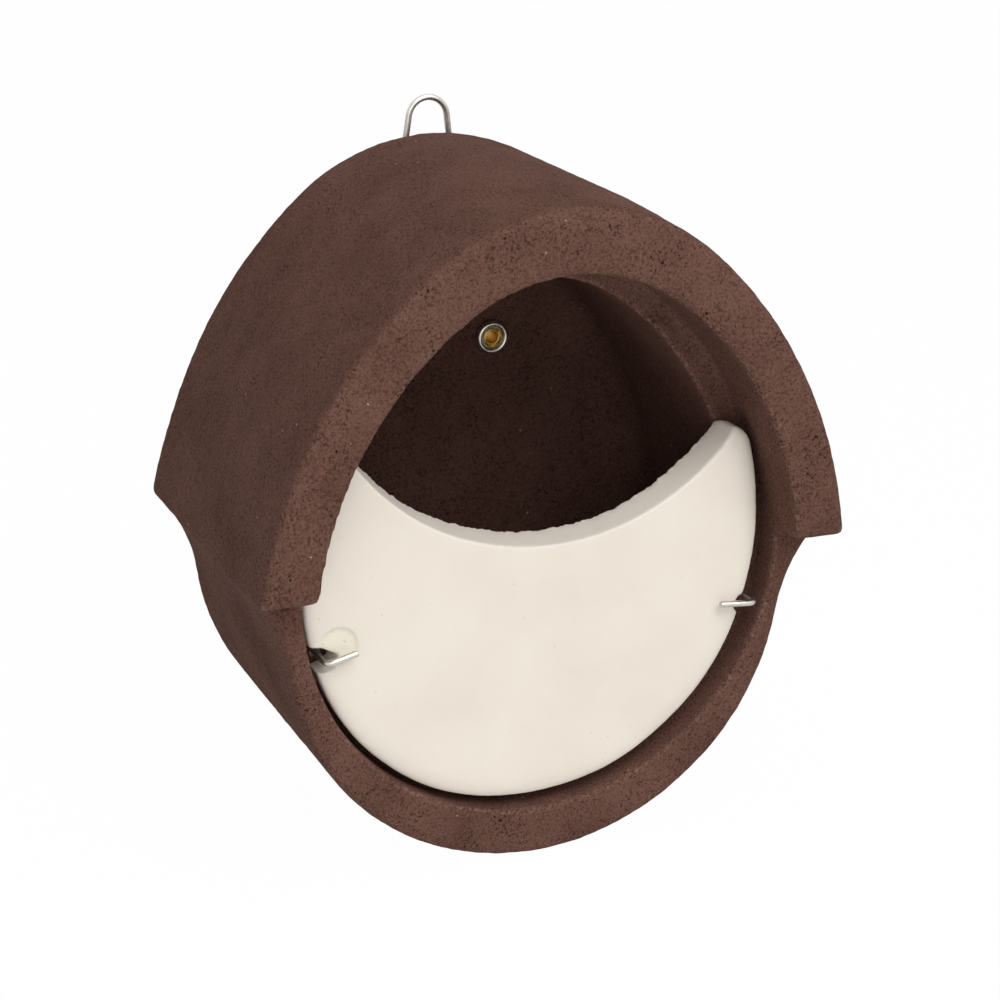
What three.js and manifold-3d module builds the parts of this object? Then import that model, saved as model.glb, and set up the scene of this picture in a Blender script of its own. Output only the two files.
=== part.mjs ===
// Woodcrete nest box that hangs on a wall: a closed-backed barrel under an arched roof,
// with a crescent-shaped front panel that two turning wire hooks hold in the mouth.
// Millimetres, +Z up, front towards -Y. The origin is in the middle of the flat back,
// level with the undersides of the eaves.
import * as THREE from "three";
import { mergeVertices } from "three/addons/utils/BufferGeometryUtils.js";
import Module from "manifold-3d";

// Fits shared by all pieces
const fitGap = 0.3;
const overrun = 20;

// Roof and body outline, seen from the front
const eaveHalf = 95;
const ridgeHeight = 111;
const crownRadius = 69;
const roofSideRadius = 153;
const eaveOverhang = 13;
const bowlRadius = eaveHalf - eaveOverhang;
const bowlDrop = 17;
const fairingRadius = 50;

// Depths of the body, from the flat back forwards
const bodyDepth = 101.7;
const canopyReach = 14.3;
const backWall = 17;
const ledgeDepth = 12.5;

// Rounded edges of the casting
const backRound = 7;
const frontRound = 3;
const cavityRound = 12;

// Mouth that the panel stands in, and the nest cavity behind its ledge
const eaveWall = 17.7;
const mouthHalf = eaveHalf - eaveWall;
const mouthDrop = 5.2;
const crownWall = 20;
const mouthCrownRadius = 54;
const mouthSideRadius = 113.5;
const ledgeWidth = 8;

// Front panel
const panelThickness = 11;
const panelBowlGap = 6.3;
const panelBowlRadius = mouthHalf - panelBowlGap;
const panelSideShift = 34.5;
const panelFlare = 3;
const flareTop = 10;
const flareFull = 30;
const panelRound = 3.2;
const panelDip = 6;
const panelDipRadius = 76;
const hornRound = 15;

// Wire hooks, the notches that they pass through and the dishes that their legs lie over
const hookInset = 6.1;
const hookHalfSpan = mouthHalf - hookInset;
const hookDrop = 23.5;
const hookWireRadius = 1;
const hookBendRadius = 2.5;
const hookRunningGap = 0.4;
const leftHookReach = 9.8;
const leftHookRise = THREE.MathUtils.degToRad(14);
const rightHookReach = 12.7;
const rightHookRise = THREE.MathUtils.degToRad(5);
const notchRadius = 4.4;
const dishRadius = 6.5;
const dishDepth = 1.2;
const dishInset = 3.9;
const dishRise = 4.2;

// Sleeves that the hook shafts turn in
const sleeveRadius = 2.8;
const sleeveLength = 14;
const sleeveFloor = 1.2;

// Hanging loop
const loopWireRadius = 1;
const loopInset = 2.8;
const loopOffset = 1.5;
const loopRadius = 6.5;
const loopRise = 12.4;
const loopLeg = 17;
const loopSplay = THREE.MathUtils.degToRad(8);

// Eyelets for the wall screws
const eyeletHalfSpan = 16;
const eyeletHeight = 45.5;
const eyeletRadius = 2.9;
const eyeletBore = 2.4;
const eyeletFlange = 3.8;
const eyeletFlangeThickness = 0.7;
const washerRadius = 5.4;
const washerThickness = 1.9;
const washerSeat = 0.8;
const washerRound = 0.8;

// Fineness of round shapes
const arcStep = THREE.MathUtils.degToRad(5);
const boltSides = 32;
const wireSides = 10;
const wireStep = 1.2 * hookWireRadius;
const edgeSteps = 4;

// Planes and heights that several pieces share
const rimY = -bodyDepth;
const frontY = rimY - canopyReach;
const ledgeY = rimY + ledgeDepth;
const mouthTop = ridgeHeight - crownWall;
const mouthFloorRadius = Math.hypot(mouthHalf, mouthDrop);

const wasm = await Module();
wasm.setup();

// A closed three.js geometry as a solid that can be joined and cut
function solidOf(geometry) {
  const bare = geometry.index ? geometry.toNonIndexed() : geometry.clone();
  bare.deleteAttribute("normal");
  bare.deleteAttribute("uv");
  const merged = mergeVertices(bare);
  return new wasm.Manifold(
    new wasm.Mesh({
      numProp: 3,
      vertProperties: merged.attributes.position.array,
      triVerts: new Uint32Array(merged.index.array),
    }),
  );
}

// A joined or cut solid as a three.js geometry
function geometryOf(solid) {
  const { vertProperties, triVerts, numProp } = solid.getMesh();
  const positions = new Float32Array((vertProperties.length / numProp) * 3);
  for (let i = 0; i < positions.length / 3; i += 1) {
    positions.set(vertProperties.subarray(i * numProp, i * numProp + 3), i * 3);
  }
  const geometry = new THREE.BufferGeometry();
  geometry.setAttribute("position", new THREE.BufferAttribute(positions, 3));
  geometry.setIndex(new THREE.BufferAttribute(new Uint32Array(triVerts), 1));
  const faceted = geometry.toNonIndexed();
  faceted.computeVertexNormals();
  return faceted;
}

// Points along an arc, about one for each arc step
function arcPoints(centre, radius, from, to) {
  const curve = new THREE.EllipseCurve(
    centre.x,
    centre.y,
    radius,
    radius,
    from,
    to,
    to < from,
  );
  return curve.getPoints(Math.max(2, Math.ceil(Math.abs(to - from) / arcStep)));
}

// Where two circles meet, on the right of the line from the first centre to the second
function circlesMeet(first, firstRadius, second, secondRadius) {
  const between = second.clone().sub(first);
  const distance = between.length();
  const along = (firstRadius ** 2 - secondRadius ** 2 + distance ** 2) / (2 * distance);
  const aside = Math.sqrt(Math.max(0, firstRadius ** 2 - along ** 2));
  const direction = between.divideScalar(distance);
  return new THREE.Vector2(
    first.x + along * direction.x + aside * direction.y,
    first.y + along * direction.y - aside * direction.x,
  );
}

const angleOf = (point, centre) => Math.atan2(point.y - centre.y, point.x - centre.x);
const mirrored = (points) =>
  points.map((point) => new THREE.Vector2(-point.x, point.y)).reverse();

// Closed outline from runs of points, without the doubled points where the runs join
function outlineOf(...runs) {
  const points = runs.flat();
  const same = (a, b) => a.distanceTo(b) < fitGap / 10;
  return points.filter((point, i) => !same(point, points[(i + 1) % points.length]));
}

// An arch of a crown arc between two flatter side arcs, that each pass through a foot
function archOf(top, crown, side, foot) {
  const crownCentre = new THREE.Vector2(0, top - crown);
  const sideCentre = circlesMeet(crownCentre, side - crown, foot, side);
  return { crown, side, crownCentre, sideCentre, lean: angleOf(crownCentre, sideCentre) };
}

// The arch above a height, from its right foot over the crown to its left foot,
// moved in by an inset
function archAbove(arch, baseZ, inset = 0) {
  const radius = arch.side - inset;
  const base = Math.asin((baseZ - arch.sideCentre.y) / radius);
  const side = arcPoints(arch.sideCentre, radius, base, arch.lean);
  const crown = arcPoints(
    arch.crownCentre,
    arch.crown - inset,
    arch.lean,
    Math.PI - arch.lean,
  );
  return [...side, ...crown, ...mirrored(side)];
}

// A prism with its outline seen from the front, between two planes across Y
function prism(outline, backY, forwardY, round = 0, hole = undefined) {
  const shape = new THREE.Shape(outline);
  if (hole) shape.holes.push(new THREE.Path(hole));
  const length = backY - forwardY;
  const geometry = new THREE.ExtrudeGeometry(shape, {
    depth: length - 2 * round,
    bevelEnabled: round > 0,
    bevelThickness: round,
    bevelSize: round,
    bevelOffset: -round,
    bevelSegments: edgeSteps,
  });
  geometry.translate(0, 0, round - backY);
  return solidOf(geometry.rotateX(Math.PI / 2));
}

// All space between two planes across Y, around the whole object
function slab(backY, forwardY) {
  const reach = 2 * (eaveHalf + ridgeHeight + bowlRadius + bowlDrop);
  const box = new THREE.BoxGeometry(reach, backY - forwardY, reach);
  return solidOf(box.translate(0, (backY + forwardY) / 2, 0));
}

// A round rod along Y
function rod(x, z, radius, backY, forwardY) {
  const cylinder = new THREE.CylinderGeometry(radius, radius, backY - forwardY, boltSides);
  return solidOf(cylinder.translate(x, (backY + forwardY) / 2, z));
}

// Round wire along a flat path, placed in space point by point
function wire(path, place, radius) {
  const steps = Math.ceil(path.getLength() / wireStep);
  const points = path.getSpacedPoints(steps).map(place);
  const section = new THREE.Shape();
  section.absarc(0, 0, radius, 0, 2 * Math.PI);
  return new THREE.ExtrudeGeometry(section, {
    curveSegments: wireSides / 2,
    steps,
    extrudePath: new THREE.CatmullRomCurve3(points, false, "centripetal"),
  });
}

// Outlines of the body, the roof band, the mouth and the cavity
const roofArch = archOf(
  ridgeHeight,
  crownRadius,
  roofSideRadius,
  new THREE.Vector2(eaveHalf, 0),
);
const mouthArch = archOf(
  mouthTop,
  mouthCrownRadius,
  mouthSideRadius,
  new THREE.Vector2(mouthHalf, 0),
);
const mouthFloorCentre = new THREE.Vector2(0, -mouthDrop);

function bodyOutline() {
  const bowlCentre = new THREE.Vector2(0, -bowlDrop);
  const tip = new THREE.Vector2(eaveHalf, 0);
  const fairingCentre = circlesMeet(
    bowlCentre,
    bowlRadius + fairingRadius,
    tip,
    fairingRadius,
  );
  const touch = angleOf(fairingCentre, bowlCentre);
  const fairing = arcPoints(
    fairingCentre,
    fairingRadius,
    touch + Math.PI,
    angleOf(tip, fairingCentre),
  );
  const bowl = arcPoints(bowlCentre, bowlRadius, -Math.PI - touch, touch);
  return outlineOf(archAbove(roofArch, 0), mirrored(fairing), bowl, fairing);
}

function canopyOutline() {
  return outlineOf(archAbove(roofArch, 0), archAbove(mouthArch, 0).reverse());
}

// The mouth outline, or the cavity outline when it is moved in by the ledge
function mouthOutline(inset = 0) {
  const radius = mouthFloorRadius - inset;
  const foot = circlesMeet(
    mouthArch.sideCentre,
    mouthArch.side - inset,
    mouthFloorCentre,
    radius,
  );
  const start = angleOf(foot, mouthFloorCentre);
  const floor = arcPoints(mouthFloorCentre, radius, -Math.PI - start, start);
  return outlineOf(archAbove(mouthArch, foot.y, inset), floor);
}

// Paths of the wire pieces
function hookPath(reach) {
  const legY = rimY - hookRunningGap - hookWireRadius;
  const shaftEnd = ledgeY + sleeveLength - sleeveFloor - fitGap;
  const path = new THREE.Path();
  path.moveTo(0, shaftEnd);
  path.lineTo(0, legY + hookBendRadius);
  path.absarc(hookBendRadius, legY + hookBendRadius, hookBendRadius, Math.PI, 1.5 * Math.PI);
  path.lineTo(reach, legY);
  return path;
}

function loopPath(endGap = 0) {
  const centre = new THREE.Vector2(0, ridgeHeight + loopRise - loopWireRadius - loopRadius);
  const leg = loopLeg + endGap;
  const shoulder = new THREE.Vector2(
    loopRadius * Math.cos(loopSplay),
    loopRadius * Math.sin(loopSplay),
  ).add(centre);
  const foot = new THREE.Vector2(
    shoulder.x + leg * Math.sin(loopSplay),
    shoulder.y - leg * Math.cos(loopSplay),
  );
  const path = new THREE.Path();
  path.moveTo(foot.x, foot.y);
  path.lineTo(shoulder.x, shoulder.y);
  path.absarc(centre.x, centre.y, loopRadius, loopSplay, Math.PI - loopSplay);
  path.lineTo(-foot.x, foot.y);
  return path;
}

const onLoopPlane = (point) =>
  new THREE.Vector3(point.x - loopOffset, -loopInset, point.y);

// The cast body: barrel, roof, ledge, cavity and the holes for what is cast or fitted in
function makeShell() {
  const outline = bodyOutline();
  const mouth = mouthOutline();
  const barrel = prism(outline, 0, rimY, backRound).intersect(slab(overrun, ledgeY));
  const collar = prism(outline, 0, rimY, frontRound, mouth);
  const canopy = prism(canopyOutline(), 0, frontY, frontRound);
  const ahead = slab(ledgeY, frontY - overrun);
  const cavity = prism(
    mouthOutline(ledgeWidth),
    -backWall,
    ledgeY - overrun,
    cavityRound,
  );
  let shell = barrel.add(collar.add(canopy).intersect(ahead)).subtract(cavity);
  shell = shell.subtract(
    solidOf(wire(loopPath(fitGap), onLoopPlane, loopWireRadius + fitGap)),
  );
  for (const side of [-1, 1]) {
    const x = side * hookHalfSpan;
    const sleeveEnd = ledgeY + sleeveLength + fitGap;
    shell = shell
      .subtract(rod(x, -hookDrop, sleeveRadius + fitGap, sleeveEnd, rimY - overrun))
      .subtract(
        rod(
          side * eyeletHalfSpan,
          eyeletHeight,
          eyeletRadius + fitGap,
          overrun,
          -backWall - overrun,
        ),
      );
  }
  return geometryOf(shell);
}

// A prism that grows wider towards its back below a height, about a centre in its outline
function flaredPrism(outline, backY, forwardY, round, centre, growth) {
  const straight = prism(outline, backY, forwardY, round);
  return straight.warp((point) => {
    const share = THREE.MathUtils.smoothstep(-point[2], -flareTop, flareFull);
    const depth = (point[1] - forwardY) / (backY - forwardY);
    const scale = 1 + growth * share * depth;
    point[0] = centre.x + (point[0] - centre.x) * scale;
    point[2] = centre.y + (point[2] - centre.y) * scale;
  });
}

// The crescent front, which stands on the mouth's floor and leans on the ledge: a bowl arc,
// a flatter arc on each side that runs into it, and the dip
function makePanel() {
  const floorZ = fitGap + panelFlare - mouthDrop - mouthFloorRadius;
  const bowlCentre = new THREE.Vector2(0, floorZ + panelBowlRadius);
  const sideCentre = new THREE.Vector2(-panelSideShift, 0);
  const sideRadius = sideCentre.distanceTo(bowlCentre) + panelBowlRadius;
  const dipCentre = new THREE.Vector2(0, panelDip + panelDipRadius);
  const horn = circlesMeet(sideCentre, sideRadius, dipCentre, panelDipRadius);
  const hornOnSide = angleOf(horn, sideCentre);
  const hornOnDip = angleOf(horn, dipCentre);
  const touch = angleOf(bowlCentre, sideCentre);
  const side = arcPoints(
    sideCentre,
    sideRadius,
    touch,
    hornOnSide - hornRound / sideRadius,
  );
  const dip = arcPoints(
    dipCentre,
    panelDipRadius,
    hornOnDip - hornRound / panelDipRadius,
    -Math.PI - hornOnDip + hornRound / panelDipRadius,
  );
  const tip = new THREE.QuadraticBezierCurve(side.at(-1), horn, dip[0]).getPoints(
    boltSides / 4,
  );
  const bowl = arcPoints(bowlCentre, panelBowlRadius, -Math.PI - touch, touch);
  const outline = outlineOf(bowl, side, tip, dip, mirrored(tip), mirrored(side));
  const backY = ledgeY - fitGap;
  const faceY = backY - panelThickness;
  const growth = panelFlare / panelBowlRadius;
  let panel = flaredPrism(outline, backY, faceY, panelRound, bowlCentre, growth);
  for (const hand of [-1, 1]) {
    const x = hand * hookHalfSpan;
    const dishX = hand * (hookHalfSpan - dishInset);
    const dishZ = dishRise - hookDrop;
    panel = panel
      .subtract(rod(x, -hookDrop, notchRadius, overrun, faceY - overrun))
      .subtract(rod(dishX, dishZ, dishRadius, faceY + dishDepth, faceY - overrun));
  }
  return geometryOf(panel);
}

// A hook on the given side, its leg towards the middle of the panel and a little upwards
function makeHook(hand) {
  const reach = hand < 0 ? leftHookReach : rightHookReach;
  const rise = hand < 0 ? leftHookRise : rightHookRise;
  const inward = new THREE.Vector2(-hand * Math.cos(rise), Math.sin(rise));
  const place = (point) =>
    new THREE.Vector3(
      hand * hookHalfSpan + point.x * inward.x,
      point.y,
      -hookDrop + point.x * inward.y,
    );
  return wire(hookPath(reach), place, hookWireRadius);
}

// A plug that the hook's shaft turns in, set in the ledge
function makeSleeve(hand) {
  const x = hand * hookHalfSpan;
  const end = ledgeY + sleeveLength;
  const bore = rod(
    x,
    -hookDrop,
    hookWireRadius + fitGap,
    end - sleeveFloor,
    ledgeY - overrun,
  );
  return geometryOf(rod(x, -hookDrop, sleeveRadius, end, ledgeY).subtract(bore));
}

// A turned piece about the Y axis through a point on the back wall's inner face:
// each profile point is a radius and a height above that face, towards the front
function turned(profile, x, z) {
  const points = profile.map(
    ([radius, height]) => new THREE.Vector2(radius, -backWall - height),
  );
  points.push(points[0].clone());
  const lathe = new THREE.LatheGeometry(points, boltSides);
  return geometryOf(solidOf(lathe.translate(x, 0, z)));
}

function makeWasher(hand) {
  const bore = eyeletRadius + fitGap;
  const seat = eyeletFlange + fitGap;
  const top = washerThickness + fitGap;
  const profile = [
    [bore, fitGap],
    [bore, fitGap + washerSeat],
    [seat, fitGap + washerSeat],
    [seat, top - washerRound],
    [seat + washerRound / 2, top],
    [washerRadius - washerRound, top],
    [washerRadius, top - washerRound],
    [washerRadius, fitGap],
  ];
  return turned(profile, hand * eyeletHalfSpan, eyeletHeight);
}

function makeEyelet(hand) {
  const seat = fitGap + washerSeat + fitGap;
  const profile = [
    [eyeletBore, -backWall],
    [eyeletBore, seat + eyeletFlangeThickness - eyeletFlangeThickness / 2],
    [eyeletBore + eyeletFlangeThickness / 2, seat + eyeletFlangeThickness],
    [eyeletFlange - eyeletFlangeThickness / 2, seat + eyeletFlangeThickness],
    [eyeletFlange, seat + eyeletFlangeThickness / 2],
    [eyeletFlange, seat],
    [eyeletRadius, seat],
    [eyeletRadius, -backWall],
  ];
  return turned(profile, hand * eyeletHalfSpan, eyeletHeight);
}

const woodcrete = { color: 0x6a4f46, roughness: 0.95, metalness: 0 };
const paintedWoodcrete = { color: 0xebe3d8, roughness: 0.8, metalness: 0 };
const steelWire = { color: 0xc9c6bf, roughness: 0.3, metalness: 1 };
const brass = { color: 0xc9a860, roughness: 0.3, metalness: 1 };
const plasticSleeve = { color: 0x8c8c88, roughness: 0.6, metalness: 0 };

const nestBox = new THREE.Group();

function addPiece(name, geometry, finish) {
  const mesh = new THREE.Mesh(geometry, new THREE.MeshStandardMaterial(finish));
  mesh.name = name;
  nestBox.add(mesh);
}

addPiece("shell", makeShell(), woodcrete);
addPiece("front_panel", makePanel(), paintedWoodcrete);
addPiece("hanging_loop", wire(loopPath(), onLoopPlane, loopWireRadius), steelWire);
for (const [hand, side] of [
  [-1, "left"],
  [1, "right"],
]) {
  addPiece("hook_" + side, makeHook(hand), steelWire);
  addPiece("hook_sleeve_" + side, makeSleeve(hand), plasticSleeve);
  addPiece("eyelet_" + side, makeEyelet(hand), brass);
  addPiece("washer_" + side, makeWasher(hand), steelWire);
}

export default nestBox;
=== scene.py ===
"""A woodcrete nest box that hangs on a wall: its cast body, crescent front panel, wire hooks,
hanging loop and screw eyelets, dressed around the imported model."""

import logging
import math
from collections.abc import Callable
from dataclasses import dataclass, field
from enum import Enum

import bmesh
import bpy
from mathutils import Matrix, Vector, geometry, noise


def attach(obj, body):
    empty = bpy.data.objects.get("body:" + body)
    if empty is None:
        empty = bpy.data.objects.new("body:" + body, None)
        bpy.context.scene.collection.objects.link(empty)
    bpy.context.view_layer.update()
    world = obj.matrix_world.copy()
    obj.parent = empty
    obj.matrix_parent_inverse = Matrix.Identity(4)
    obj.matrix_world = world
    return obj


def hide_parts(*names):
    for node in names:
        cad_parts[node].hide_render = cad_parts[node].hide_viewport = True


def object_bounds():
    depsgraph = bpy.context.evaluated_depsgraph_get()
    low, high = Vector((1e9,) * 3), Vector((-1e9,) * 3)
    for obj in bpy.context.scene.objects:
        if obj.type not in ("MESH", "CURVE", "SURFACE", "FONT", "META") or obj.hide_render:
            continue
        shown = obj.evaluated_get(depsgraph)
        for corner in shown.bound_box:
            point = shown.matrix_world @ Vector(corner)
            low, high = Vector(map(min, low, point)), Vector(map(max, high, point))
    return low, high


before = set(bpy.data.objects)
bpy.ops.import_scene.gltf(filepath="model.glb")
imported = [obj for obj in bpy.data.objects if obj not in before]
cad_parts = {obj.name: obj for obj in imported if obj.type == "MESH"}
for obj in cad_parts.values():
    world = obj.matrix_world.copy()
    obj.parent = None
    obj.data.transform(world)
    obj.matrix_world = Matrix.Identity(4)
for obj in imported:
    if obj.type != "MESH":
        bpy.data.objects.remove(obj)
CAD_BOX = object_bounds()

log = logging.getLogger("nest_box")

MM = 0.001  # metres in a millimetre: meshes are shaped in millimetres
TOWARDS_FRONT = Vector((0, -1, 0))
ARC_STEP = math.radians(2)  # the turn of one edge of an arc
BEND_STEP = math.radians(6)  # the turn of one section of bent wire
OVERRUN = 5.0  # how far a cutting tool reaches past what it cuts, in millimetres
SAME = 0.01  # points that are closer than this are one, in millimetres
SAME_ON_WIRE = 0.001  # the same for small turned and bent pieces

Point = tuple[float, float]
Point3 = tuple[float, float, float]
Span = tuple[float, float]
Socket = bpy.types.NodeSocket
Level = float | Socket


class Join(Enum):
    """The ways in which one workpiece acts on another."""

    ADD = "UNION"
    CUT = "DIFFERENCE"


def linear(hex_colour: str) -> tuple[float, float, float, float]:
    """Turns an sRGB colour into the linear one that a shader takes.

    Args:
        hex_colour: The colour as #rrggbb.

    Returns:
        Linear red, green and blue, and an alpha of 1.
    """
    channels = [int(hex_colour[i : i + 2], 16) / 255 for i in (1, 3, 5)]
    scene = [c / 12.92 if c <= 0.04045 else ((c + 0.055) / 1.055) ** 2.4 for c in channels]
    return (*scene, 1.0)


def add_node(
    tree: bpy.types.NodeTree, kind: str, sockets: dict | None = None, **settings: object
) -> bpy.types.Node:
    """Adds a shader node with its settings, values and links.

    Args:
        tree: The node tree that gets the node.
        kind: The node's Blender type.
        sockets: Input names or places with a value, or an output socket to link from.
        **settings: The node's own settings.

    Returns:
        The new node.
    """
    made = tree.nodes.new(kind)
    for name, value in settings.items():
        setattr(made, name, value)
    for name, value in (sockets or {}).items():
        if isinstance(value, Socket):
            tree.links.new(value, made.inputs[name])
        else:
            made.inputs[name].default_value = value
    return made


def fade(value: float, none_at: float, full_at: float) -> float:
    """Rises smoothly from 0 to 1 while the value goes from one limit to the other."""
    share = min(1.0, max(0.0, (value - none_at) / (full_at - none_at)))
    return share * share * (3 - 2 * share)


def per_metre(size_mm: float) -> float:
    """The texture scale at which one cell or wave measures the given millimetres."""
    return 1 / (size_mm * MM)


def circles_meet(
    first: Point, first_radius: float, second: Point, second_radius: float, right: bool = True
) -> Point:
    """Finds where two circles meet.

    Args:
        first: Centre of the first circle, as x and z.
        first_radius: Its radius.
        second: Centre of the second circle.
        second_radius: Its radius.
        right: Whether to take the meeting point on the right, or else the one on the left.

    Returns:
        The point, as x and z.
    """
    points = geometry.intersect_sphere_sphere_2d(first, first_radius, second, second_radius)
    chosen = max(points, key=lambda p: p[0]) if right else min(points, key=lambda p: p[0])
    return chosen[0], chosen[1]


class Pen:
    """Draws an outline with straight strokes and compass arcs in the plane of X and Z."""

    def __init__(self, x: float, z: float) -> None:
        """Sets the pen down at a point."""
        self.bm = bmesh.new()
        self.start = self.tip = self.bm.verts.new((x, 0, z))

    def line_to(self, x: float, z: float) -> None:
        """Draws a straight stroke to a point."""
        made = bmesh.ops.extrude_vert_indiv(self.bm, verts=[self.tip])
        self.tip = made["verts"][0]
        self.tip.co = (x, 0, z)

    def arc_to(self, x: float, z: float, centre: Point, leftward: bool = True) -> None:
        """Swings the pen about a centre to the direction of a point.

        Args:
            x: The point's place across.
            z: The point's height.
            centre: The compass point, as x and z.
            leftward: Whether the pen goes anticlockwise, seen from the front.
        """
        begin = math.atan2(self.tip.co.z - centre[1], self.tip.co.x - centre[0])
        end = math.atan2(z - centre[1], x - centre[0])
        turn = (end - begin) % math.tau if leftward else -((begin - end) % math.tau)
        steps = max(2, math.ceil(abs(turn) / ARC_STEP))
        made = bmesh.ops.spin(
            self.bm,
            geom=[self.tip],
            cent=(centre[0], 0, centre[1]),
            axis=TOWARDS_FRONT,
            angle=turn,
            steps=steps,
            use_duplicate=False,
        )
        self.tip = made["geom_last"][0]

    def closed_face(self) -> bmesh.types.BMFace:
        """Joins the end to the start and fills the outline with one face."""
        if (self.tip.co - self.start.co).length > SAME:
            self.bm.edges.new((self.tip, self.start))
        bmesh.ops.remove_doubles(self.bm, verts=self.bm.verts[:], dist=SAME)
        made = bmesh.ops.contextual_create(self.bm, geom=self.bm.edges[:])
        return made["faces"][0]


def round_off(bm: bmesh.types.BMesh, edges: list, radius: float, segments: int) -> None:
    """Rounds edges of a mesh.

    Args:
        bm: The mesh.
        edges: Its edges that are rounded.
        radius: The radius of the rounding.
        segments: Into how many strips the rounding is divided.
    """
    bmesh.ops.bevel(
        bm,
        geom=edges,
        offset=radius,
        offset_type="OFFSET",
        segments=segments,
        profile=0.5,
        affect="EDGES",
        clamp_overlap=True,
        material=-1,
    )


def prism_of(pen: Pen, back: float, front: float) -> bmesh.types.BMesh:
    """Extrudes a drawn outline between two planes across Y, into a closed solid."""
    bm = pen.bm
    face = pen.closed_face()
    bmesh.ops.translate(bm, verts=bm.verts[:], vec=(0, back, 0))
    grown = bmesh.ops.extrude_face_region(bm, geom=[face], use_keep_orig=True)["geom"]
    moved = [g for g in grown if isinstance(g, bmesh.types.BMVert)]
    bmesh.ops.translate(bm, verts=moved, vec=(0, front - back, 0))
    bmesh.ops.recalc_face_normals(bm, faces=bm.faces[:])
    return bm


def slab_of(
    pen: Pen, back: float, front: float, back_round: float = 0, front_round: float = 0
) -> bmesh.types.BMesh:
    """Extrudes a drawn outline between two planes across Y and rounds its end edges.

    Args:
        pen: The pen that drew the outline.
        back: Y of the rear plane.
        front: Y of the front plane.
        back_round: Radius along the rear edge.
        front_round: Radius along the front edge.

    Returns:
        The pen's bmesh, now a closed solid.
    """
    bm = prism_of(pen, back, front)
    for plane, radius in ((back, back_round), (front, front_round)):
        if radius > 0:
            rim = [e for e in bm.edges if all(abs(v.co.y - plane) < SAME / 10 for v in e.verts)]
            round_off(bm, rim, radius, 6)
    return bm


def cone_of(x: float, z: float, rear: Span, front: Span, segments: int) -> bmesh.types.BMesh:
    """Makes a round solid along Y, between two planes.

    Args:
        x: Place of its axis.
        z: Height of its axis.
        rear: Its radius and Y at the rear plane.
        front: Its radius and Y at the front plane.
        segments: The number of its sides.

    Returns:
        The solid.
    """
    bm = bmesh.new()
    middle = Matrix.Translation((x, (rear[1] + front[1]) / 2, z))
    bmesh.ops.create_cone(
        bm,
        cap_ends=True,
        segments=segments,
        radius1=rear[0],
        radius2=front[0],
        depth=rear[1] - front[1],
        matrix=middle @ Matrix.Rotation(math.pi / 2, 4, "X"),
    )
    return bm


def in_order(bm: bmesh.types.BMesh) -> bmesh.types.BMesh:
    """Rebuilds a mesh with its points and faces in order of place, the same in each run.

    Args:
        bm: The mesh, which is used up.

    Returns:
        The mesh in order.
    """
    points = sorted(bm.verts, key=lambda vert: tuple(round(c, 3) for c in vert.co))
    rank = {vert: i for i, vert in enumerate(points)}
    rings = []
    for face in bm.faces:
        ring = [rank[vert] for vert in face.verts]
        first = ring.index(min(ring))
        rings.append(ring[first:] + ring[:first])
    made = bmesh.new()
    verts = [made.verts.new(point.co) for point in points]
    for ring in sorted(rings):
        made.faces.new([verts[i] for i in ring])
    bm.free()
    return made


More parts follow.
